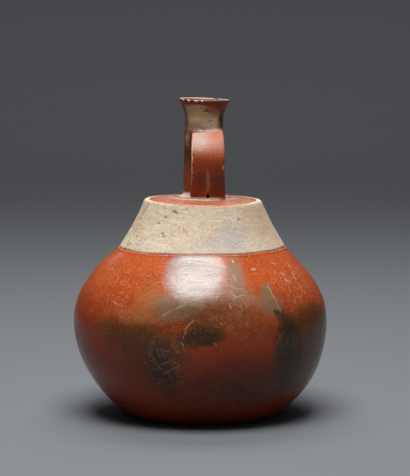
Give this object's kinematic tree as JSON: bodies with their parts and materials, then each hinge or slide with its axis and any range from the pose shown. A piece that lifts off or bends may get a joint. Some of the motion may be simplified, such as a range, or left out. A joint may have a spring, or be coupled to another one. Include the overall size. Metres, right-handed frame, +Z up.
{
  "type": "strap-handled clay bottle",
  "caption": "Hollow fired clay bottle for holding and pouring liquid: globular burnished body, cream conical shoulder, low domed top, flared spout and flat strap handle.",
  "frame": {"origin": "middle of the belly's outline on the plane that the bottle stands on", "axes": "+Z up along the spout; the strap handle is in front of the spout, towards -Y and a little to +X; +X is to the right of someone who faces the handle"},
  "size_m": [0.1928, 0.1928, 0.2399],
  "materials": {
    "burnished_clay": "burnished red slip with dark fire clouds, cream slip on the shoulder, worn to buff clay on the spout"
  },
  "bodies": {
    "root": {"strap_handled_bottle": "burnished_clay"}
  },
  "joints": []
}
